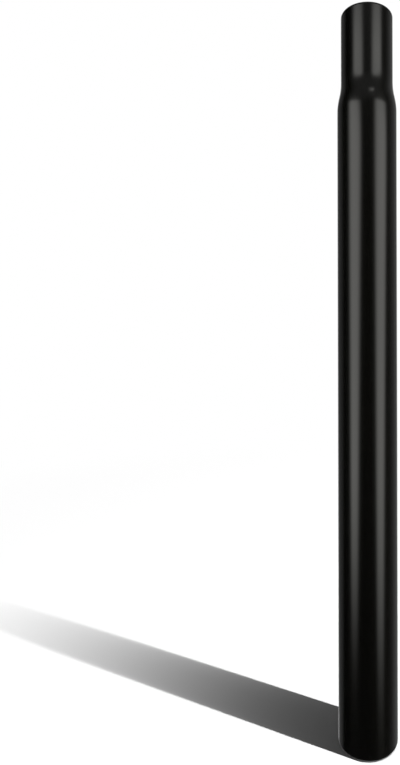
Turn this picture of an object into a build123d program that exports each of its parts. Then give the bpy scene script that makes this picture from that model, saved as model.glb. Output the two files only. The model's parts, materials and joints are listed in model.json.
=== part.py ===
from build123d import *
from math import atan2, hypot, tan
import os

# Straight bicycle seatpost: one steel tube, swaged at its top to a narrower neck.
# The body slides in the frame's seat tube, and the neck takes the saddle clamp.
# The post stands on its lower end: the axis is +Z, and the origin is the middle of that end.

# Driving dimensions, in millimetres
OVERALL_LENGTH = 310.0
BODY_DIAMETER = 25.4
BODY_WALL = 2.0
NECK_DIAMETER = 22.2
NECK_WALL = 2.2  # a little thicker than the body, because swaging gathers the wall
NECK_LENGTH = 31.6  # from the top end down to where the cone would meet the neck
CONE_HEIGHT = 7.3  # between the sharp corners of the cone, before they are blended
SHOULDER_BLEND = 26.0  # outside radius where the body turns into the cone
NECK_BLEND = 28.0  # outside radius where the cone turns into the neck
BLEND_SHARE = 0.45  # most of the cone's length that each of its blends may take
RIM_ROUNDING = 1.2  # outside edge of both ends
MOUTH_BREAK = 0.3  # inside edge of both ends
END_FLAT = 0.2  # flat ring that each end keeps, however thin its wall

# Radii and heights that follow from them
body_radius = BODY_DIAMETER / 2
neck_radius = NECK_DIAMETER / 2
body_bore_radius = body_radius - BODY_WALL
neck_bore_radius = neck_radius - NECK_WALL
neck_foot = OVERALL_LENGTH - NECK_LENGTH
shoulder_height = neck_foot - CONE_HEIGHT


def rim_radius(wall: float) -> float:
    """Rounding of an end's outside edge, limited by the wall that it is cut from."""
    return min(RIM_ROUNDING, wall - MOUTH_BREAK - END_FLAT)


def blend_radius(wanted: float, drop: float, height: float) -> float:
    """Radius of a blend on a cone that narrows by drop over height, limited by the cone's length."""
    half_turn = atan2(drop, height) / 2
    return min(wanted, BLEND_SHARE * hypot(drop, height) / tan(half_turn))


def outside_corners() -> list[tuple[tuple[float, float], float]]:
    """Corners of the outside from the lower end up: (radius, height) and the rounding of each."""
    drop = body_radius - neck_radius
    return [
        ((body_radius, 0.0), rim_radius(BODY_WALL)),
        ((body_radius, shoulder_height), blend_radius(SHOULDER_BLEND, drop, CONE_HEIGHT)),
        ((neck_radius, neck_foot), blend_radius(NECK_BLEND, drop, CONE_HEIGHT)),
        ((neck_radius, OVERALL_LENGTH), rim_radius(NECK_WALL)),
    ]


def bore_corners() -> list[tuple[tuple[float, float], float]]:
    """Corners of the bore from the top end down: (radius, height) and the rounding of each.

    The bore follows the outside at the wall's thickness: its cone starts and ends a little lower, by the
    wall times the tangent of half the turn, and each blend differs from the outside one by the wall.
    """
    turn = atan2(body_radius - neck_radius, CONE_HEIGHT)
    top = neck_foot - NECK_WALL * tan(turn / 2)
    bottom = shoulder_height - BODY_WALL * tan(turn / 2)
    drop = body_bore_radius - neck_bore_radius
    return [
        ((neck_bore_radius, OVERALL_LENGTH), MOUTH_BREAK),
        ((neck_bore_radius, top), blend_radius(NECK_BLEND + NECK_WALL, drop, top - bottom)),
        ((body_bore_radius, bottom), blend_radius(SHOULDER_BLEND - BODY_WALL, drop, top - bottom)),
        ((body_bore_radius, 0.0), MOUTH_BREAK),
    ]


def make_seatpost() -> Part:
    """The tube's wall section, with every corner rounded, revolved about the post's axis."""
    corners = outside_corners() + bore_corners()
    points = [point for point, _ in corners]
    roundings = [rounding for _, rounding in corners]
    with BuildPart() as post:
        with BuildSketch(Plane.XZ):
            with BuildLine():
                FilletPolyline(*points, radius=roundings, close=True)
            make_face()
        revolve(axis=Axis.Z)
    return post.part


os.makedirs("parts", exist_ok=True)
seatpost = make_seatpost()
seatpost.label = "seatpost"
export_step(seatpost, "parts/seatpost.step")
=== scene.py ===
"""Black painted bicycle seatpost, standing on its lower end on a plain pale floor.

The post is one tube, turned from the section of its wall, so its outside, its rims and its bore are one
closed skin. Two tall panel lamps draw the bright streaks along the body's paint, two further ones above
them draw those along the neck, and a small one overhead makes the glint on the shoulder. Shutters keep
each of these lamps to its own part of the post.
"""

import json
import logging
from dataclasses import dataclass
from enum import Enum
from math import atan2, cos, hypot, pi, radians, sin, tan
from typing import Any, Union

import bmesh
import bpy
from mathutils import Matrix, Vector


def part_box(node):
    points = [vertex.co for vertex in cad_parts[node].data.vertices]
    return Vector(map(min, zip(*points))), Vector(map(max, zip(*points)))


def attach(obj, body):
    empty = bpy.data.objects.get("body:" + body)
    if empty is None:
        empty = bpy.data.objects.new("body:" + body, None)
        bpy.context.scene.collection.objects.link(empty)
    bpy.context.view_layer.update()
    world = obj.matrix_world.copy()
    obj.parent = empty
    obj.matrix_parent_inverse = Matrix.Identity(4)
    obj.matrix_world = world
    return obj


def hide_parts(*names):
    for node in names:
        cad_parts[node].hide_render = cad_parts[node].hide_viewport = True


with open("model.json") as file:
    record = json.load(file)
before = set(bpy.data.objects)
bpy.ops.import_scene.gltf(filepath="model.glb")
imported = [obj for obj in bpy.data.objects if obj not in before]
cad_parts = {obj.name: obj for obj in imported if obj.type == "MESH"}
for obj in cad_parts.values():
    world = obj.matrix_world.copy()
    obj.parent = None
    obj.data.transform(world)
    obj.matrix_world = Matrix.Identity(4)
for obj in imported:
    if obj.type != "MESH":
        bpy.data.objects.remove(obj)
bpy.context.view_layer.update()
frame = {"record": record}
LOG = logging.getLogger("seatpost")
MM_PER_M = 1000.0

Colour = tuple[float, float, float, float]
Tint = tuple[float, float, float]
Span = tuple[float, float]
Number = Union["Signal", float]

WHITE: Colour = (1.0, 1.0, 1.0, 1.0)
LEVEL: tuple[float, float, float] = (1.0, 1.0, 0.0)  # times a vector, it leaves out the height
ROOT_POWER = 0.5
NOISE_MIDDLE = 0.5


class Signal:
    """A node's output. Arithmetic on it adds Math nodes to its tree."""

    def __init__(self, bench: "NodeBench", socket: bpy.types.NodeSocket) -> None:
        """Wraps one output socket of a node on the bench."""
        self.bench = bench
        self.socket = socket

    def math(self, operation: str, first: Number, second: Number) -> "Signal":
        """Adds one Math node.

        Args:
            operation: the node's operation, such as ADD.
            first: its first value or link.
            second: its second value or link.

        Returns:
            The node's output.
        """
        node = self.bench.node("ShaderNodeMath", {"operation": operation}, {0: first, 1: second})
        return self.bench.output(node, "Value")

    def __add__(self, other: Number) -> "Signal":
        """Sum of two values."""
        return self.math("ADD", self, other)

    def __radd__(self, other: Number) -> "Signal":
        """Sum of a plain number and this value."""
        return self.math("ADD", other, self)

    def __sub__(self, other: Number) -> "Signal":
        """This value less another."""
        return self.math("SUBTRACT", self, other)

    def __rsub__(self, other: Number) -> "Signal":
        """A plain number less this value."""
        return self.math("SUBTRACT", other, self)

    def __mul__(self, other: Number) -> "Signal":
        """Product of two values."""
        return self.math("MULTIPLY", self, other)

    def smaller(self, other: Number) -> "Signal":
        """The smaller of two values."""
        return self.math("MINIMUM", self, other)

    def larger(self, other: Number) -> "Signal":
        """The larger of two values."""
        return self.math("MAXIMUM", self, other)

    def root(self) -> "Signal":
        """Square root of the value."""
        return self.math("POWER", self, ROOT_POWER)

    def rise(self, low: float, high: float) -> "Signal":
        """Smooth step.

        Args:
            low: the value at which the step leaves 0.
            high: the value at which it reaches 1.

        Returns:
            The step, from 0 to 1.
        """
        node = self.bench.node(
            "ShaderNodeMapRange",
            {"interpolation_type": "SMOOTHSTEP", "clamp": True},
            {"Value": self, "From Min": low, "From Max": high},
        )
        return self.bench.output(node, "Result")


class NodeBench:
    """Adds nodes to one shader tree, which it empties first."""

    def __init__(self, tree: bpy.types.NodeTree) -> None:
        """Takes the tree that the nodes go in."""
        tree.nodes.clear()
        self.tree = tree

    def node(
        self,
        kind: str,
        settings: dict[str, Any] | None = None,
        sockets: dict[str | int, Any] | None = None,
    ) -> bpy.types.Node:
        """Adds one node.

        Args:
            kind: the node's type, such as ShaderNodeMath.
            settings: properties of the node, which are set before its sockets.
            sockets: values or links of its inputs, by name or by number.

        Returns:
            The node.
        """
        node = self.tree.nodes.new(kind)
        for name, value in (settings or {}).items():
            setattr(node, name, value)
        in_use = [socket for socket in node.inputs if socket.enabled]
        for key, value in (sockets or {}).items():
            target = in_use[key] if isinstance(key, int) else next(s for s in in_use if s.name == key)
            if isinstance(value, Signal):
                self.tree.links.new(value.socket, target)
            else:
                target.default_value = value
        return node

    def output(self, node: bpy.types.Node, name: str) -> Signal:
        """The output of a node that has this name and is in use."""
        return Signal(self, next(s for s in node.outputs if s.enabled and s.name == name))

    def vector(self, operation: str, *vectors: Any) -> Signal:
        """Adds one Vector Math node.

        Args:
            operation: the node's operation, such as LENGTH.
            vectors: its vectors or links.

        Returns:
            The node's output, a number or a vector.
        """
        node = self.node("ShaderNodeVectorMath", {"operation": operation}, dict(enumerate(vectors)))
        return Signal(self, next(s for s in node.outputs if s.enabled))


@dataclass(frozen=True)
class Noise:
    """Noise over a surface.

    Attributes:
        width: width of one patch of it, in metres.
        detail: octaves of finer noise in it.
    """

    width: float
    detail: float

    def over(self, bench: NodeBench, place: Signal) -> Signal:
        """Lays the noise over a surface.

        Args:
            bench: the material's nodes.
            place: coordinates of the surface.

        Returns:
            The noise, from -0.5 to 0.5.
        """
        sockets = {"Vector": place, "Scale": 1.0 / self.width, "Detail": self.detail}
        return bench.output(bench.node("ShaderNodeTexNoise", {}, sockets), "Fac") - NOISE_MIDDLE


@dataclass(frozen=True)
class BlackCoat:
    """Satin black enamel, sprayed over the tube. It thins out to dull steel inside the bore.

    Lengths are in metres.

    Attributes:
        black: colour of the enamel.
        steel: colour of the bare tube deep in the bore.
        roughness: roughness of the enamel.
        roughness_play: how far its roughness wanders either way.
        steel_roughness: roughness of the bare tube.
        steel_metallic: how far the bare tube is metal, under its film of oxide.
        ior: index of refraction of the enamel.
        peel: the enamel's orange peel.
        peel_height: height of a ripple of it.
        grain: the finest grain.
        grain_height: height of the grain, as a share of a ripple's.
        grain_roughness: how much roughness the grain adds and takes, from end to end.
        cloud: the patches in which roughness wanders.
        speckle: the drops at the end of the spray.
        spray_reach: depth below a mouth to which the spray covers the bore, and where it has ended.
        bore_step: width of the step between the bore and the outside.
    """

    black: Colour = (0.0030, 0.0029, 0.0023, 1.0)
    steel: Colour = (0.11, 0.105, 0.10, 1.0)
    roughness: float = 0.20
    roughness_play: float = 0.02
    steel_roughness: float = 0.5
    steel_metallic: float = 0.7
    ior: float = 1.5
    peel: Noise = Noise(width=0.0024, detail=1.0)
    peel_height: float = 0.0000025
    grain: Noise = Noise(width=0.0005, detail=2.0)
    grain_height: float = 0.15
    grain_roughness: float = 0.02
    cloud: Noise = Noise(width=0.02, detail=2.0)
    speckle: Noise = Noise(width=0.001, detail=3.0)
    spray_reach: Span = (0.020, 0.060)
    bore_step: float = 0.0001

    def bare(self, bench: NodeBench, place: Signal, bore_radius: float, length: float) -> Signal:
        """Where the spray didn't reach.

        Args:
            bench: the material's nodes.
            place: coordinates of the surface.
            bore_radius: a radius between the bore's and the outside's.
            length: the tube's length.

        Returns:
            0 on enamel, 1 on bare tube.
        """
        radius = bench.vector("LENGTH", bench.vector("MULTIPLY", place, LEVEL))
        height = bench.output(bench.node("ShaderNodeSeparateXYZ", {}, {"Vector": place}), "Z")
        depth = height.smaller(length - height)
        start, end = self.spray_reach
        speckle = self.speckle.over(bench, place) * (end - start)
        inside = radius.rise(bore_radius, bore_radius - self.bore_step)
        return inside * (depth + speckle).rise(start, end)

    def material(self, bore_radius: float, length: float) -> bpy.types.Material:
        """Makes the finish.

        Args:
            bore_radius: a radius between the bore's and the outside's.
            length: the tube's length.

        Returns:
            The material.
        """
        made = bpy.data.materials.new("satin_black_enamel")
        made.use_nodes = True
        bench = NodeBench(made.node_tree)
        place = bench.output(bench.node("ShaderNodeTexCoord"), "Object")
        bare = self.bare(bench, place, bore_radius, length)
        cloud = self.cloud.over(bench, place) * (2 * self.roughness_play)
        peel = self.peel.over(bench, place)
        grain = self.grain.over(bench, place)
        colour = bench.node(
            "ShaderNodeMix",
            {"data_type": "RGBA"},
            {"Factor": bare, "A": self.black, "B": self.steel},
        )
        enamel_roughness = self.roughness + cloud + grain * self.grain_roughness
        roughness = enamel_roughness + bare * (self.steel_roughness - self.roughness)
        bump = bench.node(
            "ShaderNodeBump",
            {},
            {"Strength": 1.0, "Distance": self.peel_height, "Height": peel + grain * self.grain_height},
        )
        shader = bench.node(
            "ShaderNodeBsdfPrincipled",
            {},
            {
                "Base Color": bench.output(colour, "Result"),
                "Metallic": bare * self.steel_metallic,
                "Roughness": roughness,
                "IOR": self.ior,
                "Normal": bench.output(bump, "Normal"),
            },
        )
        bench.node("ShaderNodeOutputMaterial", {}, {"Surface": bench.output(shader, "BSDF")})
        return made


@dataclass(frozen=True)
class Corner:
    """A corner of the wall's section before it is rounded.

    Attributes:
        radius: distance from the post's axis, in metres.
        height: height above the lower end, in metres.
        rounding: radius of the arc that takes its place, in metres.
        steps: straight steps that the arc is drawn with.
    """

    radius: float
    height: float
    rounding: float
    steps: int

    @property
    def point(self) -> Vector:
        """Place of the corner in the plane of the section."""
        return Vector((self.radius, 0.0, self.height))


@dataclass(frozen=True)
class PostSizes:
    """Sizes of the post, in metres.

    Attributes:
        length: from the lower end to the top end.
        body_radius: outside of the body.
        neck_radius: outside of the neck.
        body_wall: wall of the body.
        neck_wall: wall of the neck, which swaging makes a little thicker.
        neck_length: from the top end down to where the cone would meet the neck.
        cone_height: between the cone's corners before they are blended.
        shoulder_blend: outside radius where the body turns into the cone.
        neck_blend: outside radius where the cone turns into the neck.
        blend_share: most of the cone's length that each of its blends may take.
        rim_rounding: outside edge of both ends.
        mouth_break: inside edge of both ends.
    """

    length: float
    body_radius: float
    neck_radius: float
    body_wall: float = 0.0020
    neck_wall: float = 0.0022
    neck_length: float = 0.0316
    cone_height: float = 0.0073
    shoulder_blend: float = 0.0260
    neck_blend: float = 0.0280
    blend_share: float = 0.45
    rim_rounding: float = 0.0012
    mouth_break: float = 0.0003

    @classmethod
    def from_frame(cls, record: dict[str, Any]) -> "PostSizes":
        """Reads the outside sizes from the frame.

        Args:
            record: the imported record, whose pin mounts are the body and the neck.

        Returns:
            The sizes.
        """
        low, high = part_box("seatpost")
        radii = {m["name"]: m["dims"]["r_mm"] / MM_PER_M for m in record["mounts"] if m["kind"] == "pin"}
        return cls(high.z - low.z, radii["seat_tube_body"], radii["saddle_clamp_neck"])

    def blend(self, wanted: float, drop: float, height: float) -> float:
        """Radius of a blend on a cone, limited by the cone's length.

        Args:
            wanted: the radius where there is room for it.
            drop: how far the cone narrows.
            height: the cone's height.

        Returns:
            The radius.
        """
        return min(wanted, self.blend_share * hypot(drop, height) / tan(atan2(drop, height) / 2))


@dataclass
class Seatpost:
    """The post: one tube, swaged at its top to a narrower neck.

    Attributes:
        sizes: sizes of the tube.
        coat: finish of the tube.
        steps_round: steps of the turning about the axis.
        band: greatest height of a ring of faces on the straight runs, in metres.
        rim_steps: steps of the arc at an end's outside edge.
        mouth_steps: steps of the arc at an end's inside edge.
        blend_steps: steps of a blend of the shoulder.
        weld: greatest distance between points that are joined into one, in metres.
    """

    sizes: PostSizes
    coat: BlackCoat
    steps_round: int = 192
    band: float = 0.006
    rim_steps: int = 16
    mouth_steps: int = 6
    blend_steps: int = 16
    weld: float = 0.000003

    def corners(self) -> list[Corner]:
        """Corners of the wall's section.

        The bore follows the outside at the wall's thickness: its cone lies lower by the wall times the
        tangent of half the turn, and each blend differs from the outside one by the wall.

        Returns:
            The corners, up the outside and down the bore.
        """
        s = self.sizes
        neck_foot = s.length - s.neck_length
        shoulder = neck_foot - s.cone_height
        drop = s.body_radius - s.neck_radius
        lower = tan(atan2(drop, s.cone_height) / 2)
        bore_top = neck_foot - s.neck_wall * lower
        bore_bottom = shoulder - s.body_wall * lower
        body_bore = s.body_radius - s.body_wall
        neck_bore = s.neck_radius - s.neck_wall
        outside = (drop, s.cone_height)
        inside = (body_bore - neck_bore, bore_top - bore_bottom)
        steps = self.blend_steps
        return [
            Corner(s.body_radius, 0.0, s.rim_rounding, self.rim_steps),
            Corner(s.body_radius, shoulder, s.blend(s.shoulder_blend, *outside), steps),
            Corner(s.neck_radius, neck_foot, s.blend(s.neck_blend, *outside), steps),
            Corner(s.neck_radius, s.length, s.rim_rounding, self.rim_steps),
            Corner(neck_bore, s.length, s.mouth_break, self.mouth_steps),
            Corner(neck_bore, bore_top, s.blend(s.neck_blend + s.neck_wall, *inside), steps),
            Corner(body_bore, bore_bottom, s.blend(s.shoulder_blend - s.body_wall, *inside), steps),
            Corner(body_bore, 0.0, s.mouth_break, self.mouth_steps),
        ]

    def round_corner(
        self, shape: bmesh.types.BMesh, before: Corner, corner: Corner, after: Corner
    ) -> tuple[bmesh.types.BMVert, bmesh.types.BMVert]:
        """Draws the arc that takes the place of one corner.

        Args:
            shape: the section.
            before: the corner that the outline comes from.
            corner: the corner to round.
            after: the corner that the outline goes to.

        Returns:
            The arc's first and last points.
        """
        arrive = (corner.point - before.point).normalized()
        leave = (after.point - corner.point).normalized()
        turn = arrive.angle(leave)
        axis = arrive.cross(leave).normalized()
        start = corner.point - arrive * corner.rounding * tan(turn / 2)
        centre = start + axis.cross(arrive) * corner.rounding
        first = shape.verts.new(start)
        made = bmesh.ops.spin(
            shape, geom=[first], cent=centre, axis=axis, angle=turn, steps=corner.steps
        )
        return first, made["geom_last"][0]

    def section(self) -> bmesh.types.BMesh:
        """Draws the wall's section in the XZ plane: arcs at its corners, joined by straight runs in bands.

        Returns:
            The section, a closed outline.
        """
        shape = bmesh.new()
        corners = self.corners()
        befores = corners[-1:] + corners[:-1]
        afters = corners[1:] + corners[:1]
        arcs = [self.round_corner(shape, *three) for three in zip(befores, corners, afters)]
        for (_, last), (first, _) in zip(arcs, arcs[1:] + arcs[:1]):
            shape.edges.new((last, first))
        while long_runs := [edge for edge in shape.edges if edge.calc_length() > self.band]:
            bmesh.ops.subdivide_edges(shape, edges=long_runs, cuts=1)
        return shape

    def turn(self) -> bpy.types.Mesh:
        """Turns the section about the axis.

        Returns:
            The tube's closed skin, smooth all over.
        """
        shape = self.section()
        outline = shape.verts[:] + shape.edges[:]
        bmesh.ops.spin(
            shape,
            geom=outline,
            cent=(0.0, 0.0, 0.0),
            axis=(0.0, 0.0, 1.0),
            angle=2 * pi,
            steps=self.steps_round,
            use_merge=True,
        )
        bmesh.ops.remove_doubles(shape, verts=shape.verts, dist=self.weld)
        bmesh.ops.recalc_face_normals(shape, faces=shape.faces)
        for face in shape.faces:
            face.smooth = True
        skin = bpy.data.meshes.new("seatpost_tube")
        shape.to_mesh(skin)
        shape.free()
        return skin

    def dress(self, skin: bpy.types.Mesh) -> None:
        """Gives the tube its finish.

        Args:
            skin: the tube's mesh.
        """
        body_bore = self.sizes.body_radius - self.sizes.body_wall
        between = (body_bore + self.sizes.neck_radius) / 2
        skin.materials.append(self.coat.material(between, self.sizes.length))

    def build(self) -> bpy.types.Object:
        """Makes the tube and sets it in the frame.

        Returns:
            The piece.
        """
        skin = self.turn()
        self.dress(skin)
        post = bpy.data.objects.new("seatpost_tube", skin)
        bpy.context.scene.collection.objects.link(post)
        post.modifiers.new("normals_by_area", "WEIGHTED_NORMAL")
        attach(post, "root")
        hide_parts("seatpost")
        return post


class LampRole(Enum):
    """What a lamp is for: streaks on gloss, or light and shadow on matt surfaces."""

    GLOSS = "gloss"
    MATT = "matt"


@dataclass(frozen=True)
class Fade:
    """How a panel's light fades out at its edges, as shares of its width or its height.

    Attributes:
        sides: share of the width that fades at each side.
        foot: share of the height that fades at the foot.
        top: share of the height that fades at the top.
    """

    sides: float
    foot: float
    top: float

    def light(self, bench: NodeBench) -> Signal:
        """The brightness over a panel.

        Args:
            bench: the lamp's nodes.

        Returns:
            1 in the middle of the panel, and 0 at its edges.
        """
        place = bench.output(bench.node("ShaderNodeNewGeometry"), "Parametric")
        parts = bench.node("ShaderNodeSeparateXYZ", {}, {"Vector": place})
        across = bench.output(parts, "X")
        along = bench.output(parts, "Y")
        from_sides = across.rise(0.0, self.sides) * across.rise(1.0, 1.0 - self.sides)
        return from_sides * along.rise(0.0, self.foot) * along.rise(1.0, 1.0 - self.top)


@dataclass(frozen=True)
class Shutters:
    """Shutters of a lamp, which cut its beam off across the post, above or below a height.

    Attributes:
        dark: height on the post at which the light has ended, in metres.
        lit: height on the post from which on the light is full, in metres.
        inset: how much nearer than the post's axis the lit paint is to the lamp, in metres.
    """

    dark: float
    lit: float
    inset: float = 0.0105

    def light(self, bench: NodeBench) -> Signal:
        """The share of the light that the shutters let through.

        The lit point's height follows from the length of the ray and the lamp's distance from the post.

        Args:
            bench: the lamp's nodes.

        Returns:
            1 where the light passes, and 0 where it is cut off.
        """
        place = bench.output(bench.node("ShaderNodeNewGeometry"), "Position")
        level = bench.vector("LENGTH", bench.vector("MULTIPLY", place, LEVEL)) - self.inset
        length = bench.output(bench.node("ShaderNodeLightPath"), "Ray Length")
        drop = (length * length - level * level).larger(0.0).root()
        height = bench.output(bench.node("ShaderNodeSeparateXYZ", {}, {"Vector": place}), "Z") - drop
        return height.rise(self.dark, self.lit)


@dataclass(frozen=True)
class PanelLamp:
    """Flat rectangular lamp, upright or tilted.

    Attributes:
        name: name of the lamp.
        role: what it is for.
        place: middle of the panel, in metres.
        facing: the direction that it faces.
        size: its width and height, in metres.
        radiance: its brightness, where 1 is white.
        fade: how its light fades at its edges.
        lean: how far it is turned in its own plane, clockwise as the post sees it, in degrees.
        tint: colour of its light.
        shutters: how its beam is cut off, if it is.
    """

    name: str
    role: LampRole
    place: Vector
    facing: Vector
    size: tuple[float, float]
    radiance: float
    fade: Fade
    lean: float = 0.0
    tint: Tint = (1.0, 1.0, 1.0)
    shutters: Shutters | None = None

    def build(self) -> bpy.types.Object:
        """Makes the lamp.

        Returns:
            The lamp.
        """
        data = bpy.data.lights.new(self.name, "AREA")
        data.shape = "RECTANGLE"
        data.size, data.size_y = self.size
        data.energy = self.radiance * pi * data.size * data.size_y
        data.color = self.tint
        data.use_nodes = True
        bench = NodeBench(data.node_tree)
        light = self.fade.light(bench)
        if self.shutters:
            light = light * self.shutters.light(bench)
        glow = bench.node("ShaderNodeEmission", {}, {"Strength": light})
        bench.node("ShaderNodeOutputLight", {}, {"Surface": bench.output(glow, "Emission")})
        lamp = bpy.data.objects.new(self.name, data)
        bpy.context.scene.collection.objects.link(lamp)
        turned = self.facing.to_track_quat("-Z", "Y").to_matrix().to_4x4()
        leaning = Matrix.Rotation(radians(-self.lean), 4, "Z")
        lamp.matrix_world = Matrix.Translation(self.place) @ turned @ leaning
        lamp.visible_camera = False
        lamp.visible_glossy = self.role is LampRole.GLOSS
        lamp.visible_diffuse = self.role is LampRole.MATT
        return lamp


@dataclass(frozen=True)
class Softbox:
    """Softbox that leans over the post. The paint mirrors it as a bright streak or a glint.

    Its heights run along the panel, from the camera's height up.

    Attributes:
        name: name of the softbox.
        round_post: how far round the post it is from the camera, to the right, in degrees.
        foot: its lower edge, in metres.
        top: its upper edge, in metres.
        width: its width, in metres.
        fade: how its light fades at its edges.
        radiance: its brightness, where 1 is white.
        distance: from the post's axis at the camera's height, in metres.
        tilt: how far its top leans towards the post, in degrees.
        lean: how far its top leans round the post, to the right, in degrees.
        tint: colour of its light, a warm white.
        shutters: how its beam is cut off, if it is.
    """

    name: str
    round_post: float
    foot: float
    top: float
    width: float
    fade: Fade
    radiance: float
    distance: float = 0.51
    tilt: float = 23.0
    lean: float = 0.0
    tint: Tint = (1.0, 0.995, 0.955)
    shutters: Shutters | None = None

    def build(self, camera: "PhotoCamera") -> bpy.types.Object:
        """Makes the lamp.

        Args:
            camera: the camera that it is placed by.

        Returns:
            The lamp.
        """
        x, y, height = camera.place
        heading = radians(self.round_post) + atan2(x, -y)
        tilt = radians(self.tilt)
        away = Vector((sin(heading), -cos(heading), 0.0))
        up = Vector((0.0, 0.0, 1.0))
        along = up * cos(tilt) - away * sin(tilt)
        lamp = PanelLamp(
            name=self.name,
            role=LampRole.GLOSS,
            place=away * self.distance + up * height + along * ((self.foot + self.top) / 2),
            facing=-(away * cos(tilt) + up * sin(tilt)),
            size=(self.width, self.top - self.foot),
            radiance=self.radiance,
            fade=self.fade,
            lean=self.lean,
            tint=self.tint,
            shutters=self.shutters,
        )
        return lamp.build()


@dataclass(frozen=True)
class KeyStrip:
    """Long narrow lamp overhead, in an upright plane, which throws the post's fading shadow.

    Attributes:
        towards: direction of the shadow on the floor.
        low: elevation of its lower end, in degrees.
        high: elevation of its upper end, in degrees.
        distance: from the foot of the post, in metres.
        breadth: its breadth as seen from the post, in degrees.
        radiance: its brightness, where 1 is white.
        fade: how its light fades at its ends.
    """

    towards: tuple[float, float] = (-0.909, 0.417)
    low: float = 46.0
    high: float = 94.0
    distance: float = 8.0
    breadth: float = 0.3
    radiance: float = 1530.0
    fade: Fade = Fade(sides=0.001, foot=0.2, top=0.65)

    def build(self) -> bpy.types.Object:
        """Makes the lamp.

        Returns:
            The lamp.
        """
        middle = radians((self.low + self.high) / 2)
        across = Vector(self.towards).normalized()
        outwards = Vector((-across.x * cos(middle), -across.y * cos(middle), sin(middle)))
        span = 2 * self.distance * tan(radians(self.high - self.low) / 2)
        lamp = PanelLamp(
            name="key_strip",
            role=LampRole.MATT,
            place=outwards * self.distance,
            facing=-outwards,
            size=(self.distance * radians(self.breadth), span),
            radiance=self.radiance,
            fade=self.fade,
        )
        return lamp.build()


@dataclass(frozen=True)
class Floor:
    """Pale floor, which keeps the post's shadow and turns into the white backdrop further out.

    Attributes:
        white: share of the light that it gives back.
        reach: distance from the foot at which it starts to be backdrop, and where it is, in metres.
        half_side: half of its side, in metres.
        gap: how far it lies below the post's end, in metres.
    """

    white: float = 0.9
    reach: Span = (0.35, 0.7)
    half_side: float = 6.0
    gap: float = 0.00002

    def material(self) -> bpy.types.Material:
        """Makes the floor's paint.

        Returns:
            The material.
        """
        made = bpy.data.materials.new("pale_floor")
        made.use_nodes = True
        bench = NodeBench(made.node_tree)
        place = bench.output(bench.node("ShaderNodeTexCoord"), "Object")
        far = bench.vector("LENGTH", place).rise(*self.reach)
        matt = bench.node("ShaderNodeBsdfDiffuse", {}, {"Color": (self.white, self.white, self.white, 1.0)})
        glow = bench.node("ShaderNodeEmission", {}, {"Color": WHITE, "Strength": 1.0})
        both = bench.node(
            "ShaderNodeMixShader",
            {},
            {0: far, 1: bench.output(matt, "BSDF"), 2: bench.output(glow, "Emission")},
        )
        below = bench.output(bench.node("ShaderNodeNewGeometry"), "Backfacing")
        clear = bench.node("ShaderNodeBsdfTransparent")
        sheet = bench.node(
            "ShaderNodeMixShader",
            {},
            {0: below, 1: bench.output(both, "Shader"), 2: bench.output(clear, "BSDF")},
        )
        bench.node("ShaderNodeOutputMaterial", {}, {"Surface": bench.output(sheet, "Shader")})
        return made

    def build(self) -> bpy.types.Object:
        """Makes the floor, which neither gloss nor the lamps' light sees.

        Returns:
            The floor.
        """
        shape = bmesh.new()
        bmesh.ops.create_grid(shape, x_segments=1, y_segments=1, size=self.half_side)
        bmesh.ops.translate(shape, verts=shape.verts, vec=(0.0, 0.0, -self.gap))
        sheet = bpy.data.meshes.new("floor")
        shape.to_mesh(sheet)
        shape.free()
        sheet.materials.append(self.material())
        floor = bpy.data.objects.new("floor", sheet)
        bpy.context.scene.collection.objects.link(floor)
        floor.visible_glossy = False
        floor.visible_shadow = False
        return floor


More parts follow.
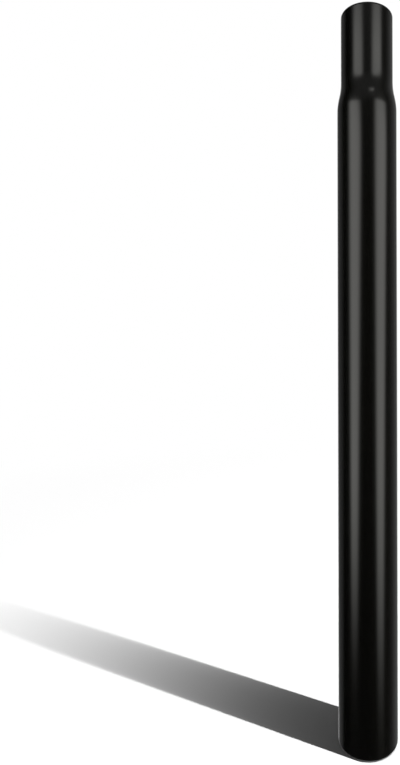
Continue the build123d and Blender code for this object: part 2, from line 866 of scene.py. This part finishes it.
@dataclass(frozen=True)
class Backdrop:
    """The white room: white to the camera, and dimmer in the paint, apart from the wall behind the post.

    Its parts are told apart by the direction that they are seen in. Each span gives the share of the way
    to the right, to the back, up or down at which a part starts, and where it has its full brightness.

    Attributes:
        ambient: light that it gives to matt surfaces, where 1 is white.
        left: brightness of the room's left side in the paint.
        right: brightness of its right side.
        ceiling: brightness of its ceiling in front of the post.
        ground: brightness of the ground round the post's foot.
        sides_span: span to the right in which the left side turns into the right one.
        left_span: span to the back of the left side.
        right_span: span to the back of the right side.
        wall_span: span to the back of the white wall, along the ground.
        front_span: span to the back of the ceiling.
        ceiling_span: span up of the ceiling.
        ground_span: span up of the ground.
    """

    ambient: float = 0.065
    left: float = 0.14
    right: float = 0.26
    ceiling: float = 0.185
    ground: float = 0.12
    sides_span: Span = (-0.2, 0.2)
    left_span: Span = (0.2, 0.5)
    right_span: Span = (-0.3, 0.7)
    wall_span: Span = (0.9, 0.97)
    front_span: Span = (0.0, -0.5)
    ceiling_span: Span = (0.30, 0.62)
    ground_span: Span = (-0.75, -0.95)

    def mirrored(self, bench: NodeBench) -> Signal:
        """The room as the paint mirrors it.

        Args:
            bench: the world's nodes.

        Returns:
            The brightness in each direction.
        """
        direction = bench.output(bench.node("ShaderNodeTexCoord"), "Generated")
        parts = bench.node("ShaderNodeSeparateXYZ", {}, {"Vector": direction})
        to_right = bench.output(parts, "X").rise(*self.sides_span)
        to_back = bench.output(parts, "Y")
        up = bench.output(parts, "Z")
        flat = bench.vector("MULTIPLY", direction, LEVEL)
        level = bench.node("ShaderNodeSeparateXYZ", {}, {"Vector": bench.vector("NORMALIZE", flat)})
        left = (1.0 - to_right) * to_back.rise(*self.left_span) * self.left
        right = to_right * to_back.rise(*self.right_span) * self.right
        ceiling = up.rise(*self.ceiling_span) * to_back.rise(*self.front_span) * self.ceiling
        ground = up.rise(*self.ground_span) * self.ground
        wall = bench.output(level, "Y").rise(*self.wall_span)
        return (left + right + ceiling + ground).larger(wall)

    def build(self) -> bpy.types.World:
        """Makes the world.

        Returns:
            The world.
        """
        world = bpy.data.worlds.new("white_room")
        bpy.context.scene.world = world
        world.use_nodes = True
        world.cycles.sampling_method = "NONE"
        bench = NodeBench(world.node_tree)
        rays = bench.node("ShaderNodeLightPath")
        camera = bench.output(rays, "Is Camera Ray")
        mirror = bench.output(rays, "Is Glossy Ray").larger(bench.output(rays, "Is Transmission Ray"))
        strength = camera + mirror * self.mirrored(bench) + (1.0 - camera - mirror) * self.ambient
        white = bench.node("ShaderNodeBackground", {}, {"Color": WHITE, "Strength": strength})
        bench.node("ShaderNodeOutputWorld", {}, {"Surface": bench.output(white, "Background")})
        return world


@dataclass(frozen=True)
class PhotoCamera:
    """Level camera close to the post, framed as the photograph is.

    Attributes:
        place: its place, in metres.
        focal_px: focal length, in pixels of the picture.
        picture: width and height of the picture, in pixels.
        axis_px: where its optical axis meets the picture, in pixels from the upper left.
        roll: how far it is rolled anticlockwise, in degrees.
        sensor: long side of its sensor, in millimetres.
        near: distance at which its view starts, in metres.
    """

    place: tuple[float, float, float] = (-0.0092, -0.2244, 0.1709)
    focal_px: float = 522.7
    picture: tuple[int, int] = (400, 765)
    axis_px: tuple[float, float] = (345.9, 341.1)
    roll: float = -0.13
    sensor: float = 36.0
    near: float = 0.001

    def build(self) -> bpy.types.Object:
        """Makes the camera and gives it to the scene.

        Returns:
            The camera.
        """
        width, height = self.picture
        data = bpy.data.cameras.new("photo_camera")
        data.sensor_width = self.sensor
        data.lens = self.sensor * self.focal_px / height
        data.shift_x = (width / 2 - self.axis_px[0]) / height
        data.shift_y = (self.axis_px[1] - height / 2) / height
        data.clip_start = self.near
        camera = bpy.data.objects.new("photo_camera", data)
        bpy.context.scene.collection.objects.link(camera)
        level = Matrix.Rotation(pi / 2, 4, "X") @ Matrix.Rotation(radians(self.roll), 4, "Z")
        camera.matrix_world = Matrix.Translation(self.place) @ level
        bpy.context.scene.camera = camera
        return camera


def main() -> None:
    """Builds the post and the studio round it, and reports each piece."""
    logging.basicConfig(level=logging.INFO, format="%(name)s: %(message)s")
    bpy.context.scene.view_settings.view_transform = "Standard"
    post = Seatpost(PostSizes.from_frame(frame["record"]), BlackCoat()).build()
    LOG.info("%s: %d faces", post.name, len(post.data.polygons))
    camera = PhotoCamera()
    header_fade = Fade(sides=0.35, foot=0.12, top=0.53)
    body_alone = Shutters(dark=0.2780, lit=0.2680, inset=0.0120)
    neck_alone = Shutters(dark=0.2752, lit=0.2815)
    lower_cone = Shutters(dark=0.2757, lit=0.2745)
    softboxes = [
        Softbox(
            "left_panel", round_post=-50.3, foot=-0.69, top=0.33, width=0.51, radiance=2.62, lean=4.0,
            fade=Fade(sides=0.35, foot=0.496, top=0.02), shutters=body_alone,
        ),
        Softbox(
            "right_panel", round_post=49.5, foot=-0.86, top=0.33, width=0.50, radiance=2.58, lean=4.2,
            fade=Fade(sides=0.35, foot=0.576, top=0.02), shutters=body_alone,
        ),
        Softbox(
            "left_header", round_post=-39.0, foot=1.28, top=1.95, width=2.5, radiance=2.58,
            fade=header_fade, distance=3.0, tilt=30.0, shutters=neck_alone,
        ),
        Softbox(
            "right_header", round_post=44.0, foot=1.28, top=1.95, width=2.5, radiance=2.69,
            fade=header_fade, distance=3.0, tilt=30.0, shutters=neck_alone,
        ),
        Softbox(
            "overhead_panel", round_post=22.0, foot=0.72, top=0.755, width=0.20, radiance=5.0,
            fade=Fade(sides=0.4, foot=0.4, top=0.4), distance=0.914, tilt=50.0, shutters=lower_cone,
        ),
    ]
    studio = [Floor().build(), KeyStrip().build(), camera.build()]
    studio += [softbox.build(camera) for softbox in softboxes]
    Backdrop().build()
    for thing in studio:
        LOG.info("%s: in place", thing.name)


if __name__ == "__main__":
    main()
